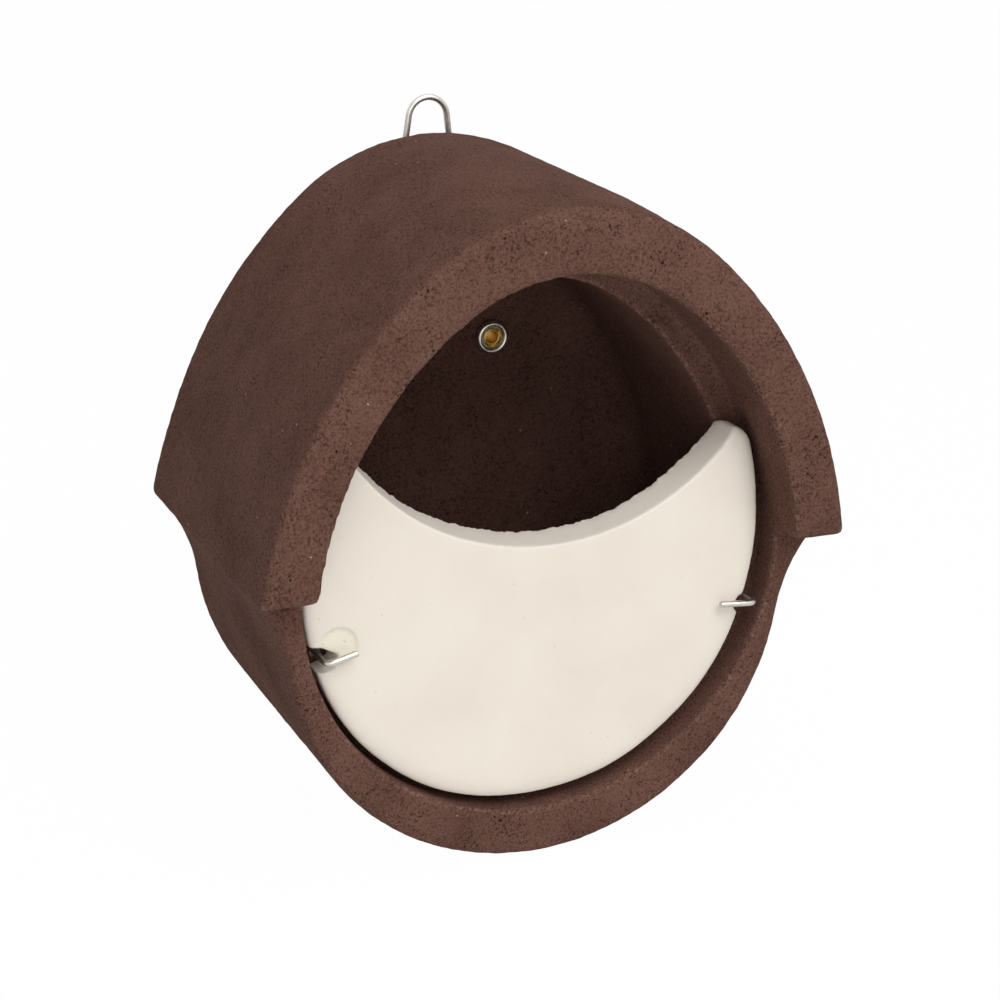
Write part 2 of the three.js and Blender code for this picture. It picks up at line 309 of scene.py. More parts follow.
class Workpiece:
    """A closed mesh in millimetres, on which tools work until it is a finished piece."""

    def __init__(self, name: str, bm: bmesh.types.BMesh) -> None:
        """Takes a bmesh on as an object of the scene.

        Args:
            name: The piece's name.
            bm: Its shape, which is used up.
        """
        mesh = bpy.data.meshes.new(name)
        bm.to_mesh(mesh)
        bm.free()
        self.obj = bpy.data.objects.new(name, mesh)
        bpy.context.scene.collection.objects.link(self.obj)

    def _bake(self) -> None:
        """Makes the modifiers' result the mesh."""
        graph = bpy.context.evaluated_depsgraph_get()
        made = bpy.data.meshes.new_from_object(self.obj.evaluated_get(graph))
        old = self.obj.data
        self.obj.modifiers.clear()
        self.obj.data = made
        made.name = self.obj.name
        bpy.data.meshes.remove(old)

    def round_edges(self, radius: float) -> None:
        """Rounds every edge by its own share of a radius."""
        step = self.obj.modifiers.new("round", "BEVEL")
        step.limit_method = "WEIGHT"
        step.width = radius
        step.segments = 8
        step.use_clamp_overlap = False
        self._bake()

    def apply(self, how: Join, tool: bmesh.types.BMesh) -> None:
        """Adds a solid to the piece or cuts it away.

        Args:
            how: Whether to add or to cut.
            tool: The solid, which is used up.
        """
        other = Workpiece("tool", tool)
        step = self.obj.modifiers.new("join", "BOOLEAN")
        step.operation = how.value
        step.solver = "EXACT"
        step.object = other.obj
        self._bake()
        mesh = other.obj.data
        bpy.data.objects.remove(other.obj)
        bpy.data.meshes.remove(mesh)

    def recast(self, grain: float, softness: int) -> None:
        """Rebuilds the surface as an even net and softens its edges, as a casting's are.

        Args:
            grain: Size of the net's squares.
            softness: How many times the net is smoothed.
        """
        step = self.obj.modifiers.new("recast", "REMESH")
        step.mode = "VOXEL"
        step.voxel_size = grain
        self._bake()
        bm = bmesh.new()
        bm.from_mesh(self.obj.data)
        for _ in range(softness):
            bmesh.ops.smooth_vert(
                bm, verts=bm.verts[:], factor=0.5, use_axis_x=True, use_axis_y=True, use_axis_z=True
            )
        bm.to_mesh(self.obj.data)
        bm.free()

    def roughen(
        self,
        waves: tuple[tuple[float, float], ...],
        sink: float,
        where: Callable[[Vector], float] = lambda point: 1.0,
    ) -> None:
        """Moves the surface in and out by smooth noise.

        Args:
            waves: The width and the height of each layer of unevenness.
            sink: How far the whole surface is taken in, to stay within the casting's size.
            where: The share of the noise that a point gets.
        """
        bm = bmesh.new()
        bm.from_mesh(self.obj.data)
        bm.normal_update()
        moves = []
        for vert in bm.verts:
            height = sum(h * noise.noise(vert.co / w) for w, h in waves) - sink
            moves.append(vert.normal * height * where(vert.co))
        for vert, move in zip(bm.verts, moves):
            vert.co += move
        bm.to_mesh(self.obj.data)
        bm.free()

    def reshape(self, shift: Callable[[Vector], Vector]) -> None:
        """Moves each point by what a rule gives for its place."""
        for vert in self.obj.data.vertices:
            vert.co += shift(vert.co)

    def mark_edges(self, layer_name: str) -> None:
        """Stores at each point how sharply the surface bends outwards there."""
        bm = bmesh.new()
        bm.from_mesh(self.obj.data)
        bm.normal_update()
        layer = bm.verts.layers.float.new(layer_name)
        for vert in bm.verts:
            ways = [vert.co - edge.other_vert(vert).co for edge in vert.link_edges]
            bends = [way.normalized().dot(vert.normal) for way in ways]
            vert[layer] = max(0.0, sum(bends) / len(bends))
        bm.to_mesh(self.obj.data)
        bm.free()

    def mark(self, layer_name: str, share: Callable[[Vector], float]) -> None:
        """Stores at each point the share that a rule gives for its place."""
        layer = self.obj.data.attributes.new(layer_name, "FLOAT", "POINT")
        for vert, stored in zip(self.obj.data.vertices, layer.data):
            stored.value = share(vert.co)

    def keep_within(self, low: Vector, high: Vector) -> None:
        """Presses what stands out of a box back into it."""
        for vert in self.obj.data.vertices:
            vert.co = [min(top, max(bottom, v)) for v, bottom, top in zip(vert.co, low, high)]

    def finish(self, material: bpy.types.Material, body: str, slot: str, *nodes: str) -> None:
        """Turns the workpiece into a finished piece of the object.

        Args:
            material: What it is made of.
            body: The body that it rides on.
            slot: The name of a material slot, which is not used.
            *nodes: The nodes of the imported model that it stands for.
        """
        self.obj.data.transform(Matrix.Scale(MM, 4))
        self.obj.data.materials.clear()
        self.obj.data.materials.append(material)
        self.obj.data.shade_smooth()
        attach(self.obj, body)
        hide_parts(*nodes)
        log.info("%s: %d faces on %s", self.obj.name, len(self.obj.data.polygons), body)


class Recipe:
    """A material in the making, whose patterns follow the piece's own millimetres."""

    def __init__(self, name: str) -> None:
        """Starts an empty material."""
        self.made = bpy.data.materials.new(name)
        self.made.use_nodes = True
        self.tree = self.made.node_tree
        self.tree.nodes.clear()
        self.place = add_node(self.tree, "ShaderNodeTexCoord").outputs["Object"]

    def noise(self, size_mm: float, detail: float, roughness: float = 0.5) -> bpy.types.Node:
        """Adds smooth noise.

        Args:
            size_mm: The width of its lumps.
            detail: How many finer layers lie on them.
            roughness: How strong each finer layer is.

        Returns:
            The node, with a level and a colour at each place.
        """
        lumps = {"Vector": self.place, "Scale": per_metre(size_mm)}
        layers = {"Detail": detail, "Roughness": roughness}
        return add_node(self.tree, "ShaderNodeTexNoise", lumps | layers)

    def cells(self, size_mm: float, place: Socket) -> bpy.types.Node:
        """Adds cells, each with a colour of its own, and the distance from its middle."""
        sockets = {"Vector": place, "Scale": per_metre(size_mm)}
        return add_node(self.tree, "ShaderNodeTexVoronoi", sockets)

    def ramp(
        self, value: Socket, none_at: Level, full_at: Level, low: Level = 0.0, high: Level = 1.0
    ) -> Socket:
        """Maps a value to another range and holds it there.

        Args:
            value: The value.
            none_at: The value that gives the low end.
            full_at: The value that gives the high end.
            low: The low end.
            high: The high end.

        Returns:
            The mapped value.
        """
        source = {"Value": value, "From Min": none_at, "From Max": full_at}
        result = {"To Min": low, "To Max": high}
        return add_node(self.tree, "ShaderNodeMapRange", source | result).outputs[0]

    def blend(self, share: Socket, first: str | Socket, second: str | Socket) -> Socket:
        """Mixes two colours.

        Args:
            share: The share of the second colour.
            first: The first colour, as #rrggbb or from another step.
            second: The second colour.

        Returns:
            The mixed colour.
        """
        ends = [linear(c) if isinstance(c, str) else c for c in (first, second)]
        sockets = {0: share, 6: ends[0], 7: ends[1]}
        return add_node(self.tree, "ShaderNodeMix", sockets, data_type="RGBA").outputs[2]

    def compute(self, operation: str, *values: Level, clamp: bool = False) -> Socket:
        """Works one value out from others.

        Args:
            operation: The sum, as Blender names it.
            *values: What goes into it, in order.
            clamp: Whether the result is held between 0 and 1.

        Returns:
            The result.
        """
        sockets = dict(enumerate(values))
        settings = {"operation": operation, "use_clamp": clamp}
        return add_node(self.tree, "ShaderNodeMath", sockets, **settings).outputs[0]

    def layer(self, name: str) -> Socket:
        """Reads a share that is stored on the piece's points."""
        return add_node(self.tree, "ShaderNodeAttribute", attribute_name=name).outputs["Fac"]

    def bump(self, height: Socket, strength: float, depth_mm: float) -> Socket:
        """Turns a level into fine relief of the given depth."""
        sockets = {"Height": height, "Strength": strength, "Distance": depth_mm * MM}
        return add_node(self.tree, "ShaderNodeBump", sockets).outputs[0]

    def finish(self, **sockets: Level | tuple) -> bpy.types.Material:
        """Closes the material with a surface.

        Args:
            **sockets: The surface's inputs, with underscores for the spaces in their names.

        Returns:
            The finished material.
        """
        inputs = {name.replace("_", " "): value for name, value in sockets.items()}
        surface = add_node(self.tree, "ShaderNodeBsdfPrincipled", inputs)
        add_node(self.tree, "ShaderNodeOutputMaterial", {"Surface": surface.outputs[0]})
        return self.made


@dataclass(frozen=True)
class Woodcrete:
    """Cement-bound sawdust, cast in a mould: chalky matt brown, with a dark open grain.

    The real grain and the marks between it are about 0.3 mm wide. They are drawn more than
    twice as coarse, because they wouldn't show otherwise.
    """

    name: str = "woodcrete_cast_brown"
    light: str = "#73544a"
    dark: str = "#52382f"
    pit: str = "#24140f"
    fleck: str = "#b39c8c"
    crumb: str = "#957c6d"
    grain_mm: float = 0.8
    cloud_mm: float = 24.0
    cloud_share: float = 0.45
    tone_range: Span = (0.53, 0.92)
    patch_mm: float = 8.0
    patch_range: Span = (0.3, 0.74)
    mark_mm: float = 0.75
    mark_range: Span = (0.46, 0.36)
    mark_depth: Span = (0.3, 0.8)
    pit_mm: float = 1.9
    pit_warp_mm: float = 1.3
    pit_chance: Span = (0.25, 1.0)
    pit_reach: float = 0.42
    pit_steepness: float = 2.0
    fleck_mm: float = 9.0
    fleck_range: Span = (0.05, 0.03)
    fleck_level: float = 0.7
    crumb_mm: float = 1.5
    crumb_range: Span = (0.5, 0.64)
    edge_range: Span = (0.06, 0.16)
    edge_level: float = 0.35
    edge_layer: str = "edge_wear"
    relief: Span = (0.5, 0.3)
    roughness: float = 0.95
    gloss: float = 0.08

    def material(self) -> bpy.types.Material:
        """Builds the material."""
        mix = Recipe(self.name)
        grain = mix.noise(self.grain_mm, 3.0, 0.7)
        cloud = mix.noise(self.cloud_mm, 3.0, 0.6).outputs["Fac"]
        tone = mix.compute("MULTIPLY_ADD", cloud, self.cloud_share, grain.outputs["Fac"])
        colour = mix.blend(mix.ramp(tone, *self.tone_range), self.dark, self.light)
        # Where the surface is open, in patches, there are more pits than where it is closed
        patch = mix.noise(self.patch_mm, 2.0).outputs["Fac"]
        open_skin = mix.ramp(patch, *self.patch_range)
        # Short dark marks between the grains
        marks = mix.noise(self.mark_mm, 2.0, 0.6).outputs["Fac"]
        mark_depth = mix.ramp(open_skin, 0.0, 1.0, *self.mark_depth)
        mark_mask = mix.ramp(marks, *self.mark_range, high=mark_depth)
        # Irregular pits where a chip of wood has pulled away, each in its own cell
        bent = add_node(
            mix.tree,
            "ShaderNodeVectorMath",
            {0: grain.outputs["Color"], 1: (self.pit_warp_mm * MM,) * 3, 2: mix.place},
            operation="MULTIPLY_ADD",
        ).outputs[0]
        pits = mix.cells(self.pit_mm, bent)
        chosen = add_node(mix.tree, "ShaderNodeSeparateColor", {0: pits.outputs["Color"]})
        size = mix.compute("MULTIPLY", chosen.outputs[0], open_skin)
        reach = mix.ramp(size, *self.pit_chance, high=self.pit_reach)
        pit_mask = mix.ramp(pits.outputs["Distance"], reach, 0.0, high=self.pit_steepness)
        hollow = mix.compute("MAXIMUM", pit_mask, mark_mask, clamp=True)
        colour = mix.blend(hollow, colour, self.pit)
        flecks = mix.cells(self.fleck_mm, bent).outputs["Distance"]
        fleck_mask = mix.ramp(flecks, *self.fleck_range, high=self.fleck_level)
        colour = mix.blend(fleck_mask, colour, self.fleck)
        # Crumbling along the outer edges shows the paler inside of the casting
        edge = mix.ramp(mix.layer(self.edge_layer), *self.edge_range, high=self.edge_level)
        crumbs = mix.noise(self.crumb_mm, 3.0).outputs["Fac"]
        crumb_mask = mix.ramp(crumbs, *self.crumb_range, high=edge)
        return mix.finish(
            Base_Color=mix.blend(crumb_mask, colour, self.crumb),
            Roughness=self.roughness,
            Specular_IOR_Level=self.gloss,
            Normal=mix.bump(mix.compute("SUBTRACT", grain.outputs["Fac"], hollow), *self.relief),
        )


@dataclass(frozen=True)
class MasonryPaint:
    """Thick pale paint on woodcrete: eggshell matt, nearly even, with the grain showing through.

    Rounded edges are lightened by painted light; the filler on the round seat is yellower with dark
    specks.
    The grit is drawn at 0.9 mm, coarser than it is, because it wouldn't show otherwise.
    """

    name: str = "masonry_paint_pale"
    light: str = "#ece3d8"
    dark: str = "#e5dbcf"
    painted_edge_light: str = "#f4f0ec"
    filler: str = "#ebe4d2"
    speck: str = "#9d9285"
    cloud_mm: float = 34.0
    cloud_range: Span = (0.3, 0.7)
    painted_edge_light_range: Span = (0.0, 0.1)
    painted_edge_light_level: float = 0.2
    speck_mm: float = 7.0
    speck_range: Span = (0.05, 0.02)
    speck_level: float = 0.35
    filler_speck_mm: float = 1.5
    filler_speck_range: Span = (0.2, 0.1)
    filler_speck_level: float = 0.6
    lump_mm: float = 5.0
    grit_mm: float = 0.9
    grit_share: float = 0.35
    edge_layer: str = "edge_painted_light"
    filler_layer: str = "filler"
    relief: Span = (0.25, 0.3)
    roughness: float = 0.8
    gloss: float = 0.25

    def material(self) -> bpy.types.Material:
        """Builds the material."""
        mix = Recipe(self.name)
        cloud = mix.noise(self.cloud_mm, 4.0).outputs["Fac"]
        colour = mix.blend(mix.ramp(cloud, *self.cloud_range), self.dark, self.light)
        # Painted light: the rounded edges are lightened where their rounding would fall into shade
        edge = mix.layer(self.edge_layer)
        lit_edges = mix.ramp(edge, *self.painted_edge_light_range, high=self.painted_edge_light_level)
        colour = mix.blend(lit_edges, colour, self.painted_edge_light)
        seat = mix.layer(self.filler_layer)
        colour = mix.blend(seat, colour, self.filler)
        specks = mix.cells(self.speck_mm, mix.place).outputs["Distance"]
        speck_mask = mix.ramp(specks, *self.speck_range, high=self.speck_level)
        crumbs = mix.cells(self.filler_speck_mm, mix.place).outputs["Distance"]
        crumb_mask = mix.ramp(crumbs, *self.filler_speck_range, high=self.filler_speck_level)
        on_seat = mix.compute("MULTIPLY_ADD", crumb_mask, seat, speck_mask)
        lumps = mix.noise(self.lump_mm, 2.0).outputs["Fac"]
        grit = mix.noise(self.grit_mm, 2.0).outputs["Fac"]
        height = mix.compute("MULTIPLY_ADD", grit, self.grit_share, lumps)
        return mix.finish(
            Base_Color=mix.blend(on_seat, colour, self.speck),
            Roughness=self.roughness,
            Specular_IOR_Level=self.gloss,
            Normal=mix.bump(height, *self.relief),
        )


@dataclass(frozen=True)
class Metal:
    """Drawn or pressed metal: bright, with fine handling marks that break up its gloss."""

    name: str
    light: str
    dark: str
    roughness: float
    play: float = 0.04
    mark_mm: float = 1.4
    mark_range: Span = (0.3, 0.7)
    relief: Span = (0.06, 0.05)

    def material(self) -> bpy.types.Material:
        """Builds the material."""
        mix = Recipe(self.name)
        marks = mix.noise(self.mark_mm, 3.0).outputs["Fac"]
        limits = (self.roughness - self.play, self.roughness + self.play)
        return mix.finish(
            Base_Color=mix.blend(marks, self.dark, self.light),
            Metallic=1.0,
            Roughness=mix.ramp(marks, *self.mark_range, *limits),
            Normal=mix.bump(marks, *self.relief),
        )


@dataclass(frozen=True)
class MouldedPlastic:
    """Injection-moulded polyethylene: even grey with a fine satin skin.

    The skin is drawn at 0.6 mm, coarser than it is, because it wouldn't show otherwise.
    """

    name: str = "polyethylene_moulded_grey"
    colour: str = "#8c8c88"
    skin_mm: float = 0.6
    relief: Span = (0.2, 0.05)
    roughness: float = 0.5

    def material(self) -> bpy.types.Material:
        """Builds the material."""
        mix = Recipe(self.name)
        skin = mix.noise(self.skin_mm, 2.0).outputs["Fac"]
        return mix.finish(
            Base_Color=linear(self.colour),
            Roughness=self.roughness,
            Normal=mix.bump(skin, *self.relief),
        )


STEEL = Metal("steel_wire_galvanised", light="#dcd9d1", dark="#bfbbb1", roughness=0.33)
ZINC = Metal("steel_zinc_plated", light="#efece4", dark="#cfccc4", roughness=0.32)
BRASS = Metal("brass_rolled", light="#e6cd92", dark="#c2a05a", roughness=0.28)


@dataclass
class Arch:
    """An arch of a crown arc between two flatter side arcs, that stand on the eave line.

    Sizes are in millimetres.
    """

    half: float
    top: float
    crown_radius: float
    side_radius: float

    def crown_centre(self) -> Point:
        """Centre of the crown arc."""
        return 0.0, self.top - self.crown_radius

    def side_centre(self) -> Point:
        """Centre of the right-hand side arc, which lies to the left of the middle."""
        within = self.side_radius - self.crown_radius
        foot = (self.half, 0)
        return circles_meet(self.crown_centre(), within, foot, self.side_radius, right=False)

    def joint(self) -> Point:
        """Where the right-hand side arc runs into the crown arc."""
        crown = Vector(self.crown_centre())
        lean = (crown - Vector(self.side_centre())).normalized()
        point = crown + lean * self.crown_radius
        return point.x, point.y

    def draw(self, pen: Pen) -> None:
        """Draws the arch from where the pen stands, on the right, over to the left foot."""
        joint = self.joint()
        side = self.side_centre()
        pen.arc_to(*joint, centre=side)
        pen.arc_to(-joint[0], joint[1], centre=self.crown_centre())
        pen.arc_to(-self.half, 0, centre=(-side[0], side[1]))


@dataclass
class Shell:
    """The cast body: arched roof with its canopy, barrel, ledge and nest cavity.

    Sizes are in millimetres.
    """

    roof: Arch = field(default_factory=lambda: Arch(95, 111, 69, 153))
    mouth: Arch = field(default_factory=lambda: Arch(77.3, 91, 54, 113.5))
    bowl_radius: float = 82
    bowl_drop: float = 17
    fairing_radius: float = 50
    rim: float = -101.7
    front: float = -116
    ledge: float = -89.2
    back_wall: float = -17
    mouth_drop: float = 5.2
    ledge_width: float = 8
    back_round: float = 5
    front_round: float = 3.2
    cavity_round: float = 12
    eyelet_half_span: float = 16
    eyelet_height: float = 45.5
    eyelet_hole: float = 3.2
    crown_sag: float = 1.4
    sag_depths: Span = (-80, -116)
    sag_heights: Span = (60, 105)
    rear_taper: float = 0.014
    taper_heights: Span = (0, 30)
    grain: float = 1.35
    softness: int = 3
    waves: tuple[Span, ...] = ((24, 0.14), (6, 0.08), (2.8, 0.12))
    sink: float = 0.12

    def body_outline(self) -> Pen:
        """Draws the outline of roof, fairings and bowl."""
        bowl = (0.0, -self.bowl_drop)
        tip = (self.roof.half, 0.0)
        reach = self.bowl_radius + self.fairing_radius
        fairing = circles_meet(bowl, reach, tip, self.fairing_radius)
        touch = Vector(bowl).lerp(Vector(fairing), self.bowl_radius / reach)
        pen = Pen(*tip)
        self.roof.draw(pen)
        pen.arc_to(-touch.x, touch.y, centre=(-fairing[0], fairing[1]), leftward=False)
        pen.arc_to(touch.x, touch.y, centre=bowl)
        pen.arc_to(*tip, centre=fairing, leftward=False)
        return pen

    def canopy_outline(self) -> Pen:
        """Draws the roof's arch, closed along the eave line."""
        pen = Pen(self.roof.half, 0)
        self.roof.draw(pen)
        return pen

    def mouth_outline(self, inset: float = 0) -> Pen:
        """Draws the mouth, or the cavity when it is moved in by the ledge.

        Args:
            inset: How far the outline is moved in.

        Returns:
            The pen at the end of the outline.
        """
        centre = (0.0, -self.mouth_drop)
        radius = math.hypot(self.mouth.half, self.mouth_drop) - inset
        side = self.mouth.side_centre()
        side_radius = self.mouth.side_radius - inset
        meets = geometry.intersect_sphere_sphere_2d(side, side_radius, centre, radius)
        foot = min(meets, key=lambda p: p[1])
        joint = Vector(self.mouth.joint())
        crown = self.mouth.crown_centre()
        joint += (Vector(crown) - joint).normalized() * inset
        pen = Pen(foot[0], foot[1])
        pen.arc_to(joint.x, joint.y, centre=side)
        pen.arc_to(-joint.x, joint.y, centre=crown)
        pen.arc_to(-foot[0], foot[1], centre=(-side[0], side[1]))
        pen.arc_to(foot[0], foot[1], centre=centre)
        return pen

    def mould_play(self, point: Vector) -> Vector:
        """How far the soft casting differs from its mould: the roof narrows towards the back
        and its crown sags a little at the front edge."""
        rear = fade(point.y, self.front, 0) * fade(point.z, *self.taper_heights)
        ahead = fade(point.y, *self.sag_depths) * fade(point.z, *self.sag_heights)
        return Vector((-point.x * self.rear_taper * rear, 0, -self.crown_sag * ahead))

    def build(self, woodcrete: bpy.types.Material) -> None:
        """Casts the body and dresses it.

        Args:
            woodcrete: Its material.
        """
        body = slab_of(self.body_outline(), 0, self.rim, self.back_round, self.front_round)
        cast = Workpiece("cast_body", body)
        canopy = slab_of(self.canopy_outline(), self.ledge, self.front, 0, self.front_round)
        cast.apply(Join.ADD, canopy)
        mouth = slab_of(self.mouth_outline(), self.ledge, self.front - 4 * OVERRUN)
        cast.apply(Join.CUT, mouth)
        cavity = self.mouth_outline(self.ledge_width)
        ahead = self.ledge - OVERRUN
        cast.apply(Join.CUT, slab_of(cavity, self.back_wall, ahead, self.cavity_round))
        for hand in (-1, 1):
            x = hand * self.eyelet_half_span
            rear = (self.eyelet_hole, 2 * OVERRUN)
            front = (self.eyelet_hole, self.back_wall - 2 * OVERRUN)
            cast.apply(Join.CUT, cone_of(x, self.eyelet_height, rear, front, 48))
        cast.recast(self.grain, self.softness)
        cast.mark_edges(Woodcrete.edge_layer)
        cast.reshape(self.mould_play)
        cast.roughen(self.waves, self.sink)
        cast.keep_within(*(Vector(corner) / MM for corner in CAD_BOX))
        cast.finish(woodcrete, "body", "woodcrete", "shell")


@dataclass
class FrontPanel:
    """The crescent-shaped front, which stands in the mouth and leans on the ledge.

    Sizes are in millimetres. The notches beside the hooks are corners as x and z, and the
    round seat and the shallow dish near them are x, z, radius and depth.
    """

    bowl_radius: float = 73.7
    floor: float = -79.1
    side_centre: Point = (-21.5, 1.2)
    tilt: float = math.radians(2.55)
    tilt_height: float = 58.8
    dip: float = 5.3
    dip_radius: float = 76
    dip_draft: float = 1.6
    horn_top: float = 36.9
    horn_round: float = 8
    back: float = -89.5
    thickness: float = 11
    edge_round: float = 7.0
    edge_fall: float = 2.4
    rear_share: float = 0.2
    notches: tuple[tuple[Point, ...], ...] = (
        ((-82, -18.8), (-71.6, -19.8), (-66.4, -22.6), (-66.6, -24.4))
        + ((-68.6, -26.6), (-71.8, -27.6), (-82, -28.4)),
        ((82, -20.6), (70.6, -21.0), (66.8, -22.2), (65.2, -24.0))
        + ((65.4, -25.8), (66.8, -27.4), (69.0, -28.2), (82, -28.6)),
    )
    seat: tuple[float, float, float, float] = (-66.6, -19.4, 6.0, 0.9)
    seat_fade: Span = (0.3, -0.6)
    dish: tuple[float, float, float, float] = (67.5, -21.5, 11.0, 0.4)
    grain: float = 0.62
    softness: int = 2
    waves: tuple[Span, ...] = ((40, 0.5), (14, 0.14), (3.5, 0.05))
    sink: float = 0.1
    crumbling: tuple[Span, ...] = ((2.4, 0.35), (1.2, 0.35))
    crumble_sink: float = 0.12
    crumble_fade: Span = (3, 0.5)

    def outline(self) -> Pen:
        """Draws the panel without its dip: a bowl arc, flatter sides and rounded horns."""
        bowl = Vector((0, self.floor + self.bowl_radius))
        side = Vector(self.side_centre)
        side_radius = (bowl - side).length + self.bowl_radius
        touch = side + (bowl - side).normalized() * side_radius
        reach = side_radius - self.horn_round
        height = self.horn_top - self.horn_round
        corner = Vector((side.x + math.sqrt(reach**2 - (height - side.y) ** 2), height))
        edge = side + (corner - side).normalized() * side_radius
        pen = Pen(-touch.x, touch.y)
        pen.arc_to(touch.x, touch.y, centre=(bowl.x, bowl.y))
        pen.arc_to(edge.x, edge.y, centre=(side.x, side.y))
        pen.arc_to(corner.x, self.horn_top, centre=(corner.x, corner.y))
        pen.line_to(-corner.x, self.horn_top)
        pen.arc_to(-edge.x, edge.y, centre=(-corner.x, corner.y))
        pen.arc_to(-touch.x, touch.y, centre=(-side.x, side.y))
        return pen

    def blank(self) -> bmesh.types.BMesh:
        """Makes the panel without its dip, with the share of rounding that each edge gets."""
        bm = prism_of(self.outline(), self.back, self.back - self.thickness)
        share = bm.edges.layers.float.new("bevel_weight_edge")
        for edge in bm.edges:
            first, last = (v.co for v in edge.verts)
            if abs(first.y - last.y) < SAME:
                at_rear = first.y > self.back - self.thickness / 2
                edge[share] = self.rear_share if at_rear else 1.0
        return bm

    def bore_tool(
        self, x: float, z: float, radius: float, draft: float, reach: float
    ) -> bmesh.types.BMesh:
        """Makes a round tool along Y that widens towards the front.

        Args:
            x: Place of its axis.
            z: Height of its axis.
            radius: Its radius at the panel's rear face.
            draft: How much wider it is at the panel's front face.
            reach: How far it goes in from the panel's front face.

        Returns:
            The tool.
        """
        front = self.back - self.thickness
        rear, ahead = (
            (radius + draft * (self.back - y) / self.thickness, y)
            for y in (front + reach, front - self.thickness)
        )
        return cone_of(x, z, rear, ahead, 360)

    def flatten(self, point: Vector) -> Vector:
        """How far a point moves as the front's rounding, deep at first, is made shallow."""
        depth = point.y - self.back + self.thickness
        if depth < self.edge_round:
            return Vector((0, depth * (self.edge_fall / self.edge_round - 1), 0))
        left = (self.thickness - depth) / (self.thickness - self.edge_round)
        return Vector((0, left * (self.edge_fall - self.edge_round), 0))

    def lean(self, point: Vector) -> Vector:
        """How far a point moves as the panel leans a little to one side in the mouth."""
        pivot = Vector((0, 0, self.tilt_height))
        return Matrix.Rotation(self.tilt, 3, "Y") @ (point - pivot) + pivot - point

    def off_dip(self, point: Vector) -> float:
        """How far a point lies outside the dip's arc at the rear, seen from the front."""
        centre = Vector((0, 0, self.dip + self.dip_radius))
        centre += self.lean(centre)
        return math.hypot(point.x - centre.x, point.z - centre.z) - self.dip_radius

    def in_seat(self, point: Vector) -> float:
        """The share of filler that a point gets: all of it on the round seat."""
        x, z, radius, _ = self.seat
        none_at, full_at = (radius + step for step in self.seat_fade)
        return fade(math.hypot(point.x - x, point.z - z), none_at, full_at)

    def ragged_edge(self, point: Vector) -> float:
        """The share of crumbling that a point gets: all of it along the dip's rear edge."""
        off_edge = math.hypot(self.off_dip(point), point.y - self.back)
        return fade(off_edge, *self.crumble_fade)

    def build(self, paint: bpy.types.Material) -> None:
        """Casts the panel and dresses it.

        Args:
            paint: Its material.
        """
        panel = Workpiece("crescent_panel", self.blank())
        panel.round_edges(self.edge_round)
        panel.reshape(self.flatten)
        dip = self.bore_tool(
            0, self.dip + self.dip_radius, self.dip_radius, self.dip_draft, 2 * self.thickness
        )
        panel.apply(Join.CUT, dip)
        panel.reshape(self.lean)
        face = self.back - self.thickness
        x, z, radius, depth = self.seat
        panel.apply(Join.CUT, self.bore_tool(x, z, radius, draft=0, reach=depth))
        x, z, radius, depth = self.dish
        # The ball whose cap has the dish's radius and depth
        ball = (radius**2 + depth**2) / (2 * depth)
        hollow = bmesh.new()
        bmesh.ops.create_uvsphere(
            hollow,
            u_segments=160,
            v_segments=80,
            radius=ball,
            matrix=Matrix.Translation((x, face + depth - ball, z)),
        )
        panel.apply(Join.CUT, hollow)
        for corners in self.notches:
            pen = Pen(*corners[0])
            for corner in corners[1:]:
                pen.line_to(*corner)
            panel.apply(Join.CUT, slab_of(pen, self.back + OVERRUN, face - OVERRUN))
        panel.recast(self.grain, self.softness)
        # Stores how sharply the edges bend, which the paint uses to paint light onto the rounded
        # edges
        panel.mark_edges(MasonryPaint.edge_layer)
        panel.mark(MasonryPaint.filler_layer, self.in_seat)
        panel.roughen(self.waves, self.sink)
        panel.roughen(self.crumbling, self.crumble_sink, self.ragged_edge)
        panel.finish(paint, "body", "painted_woodcrete", "front_panel")


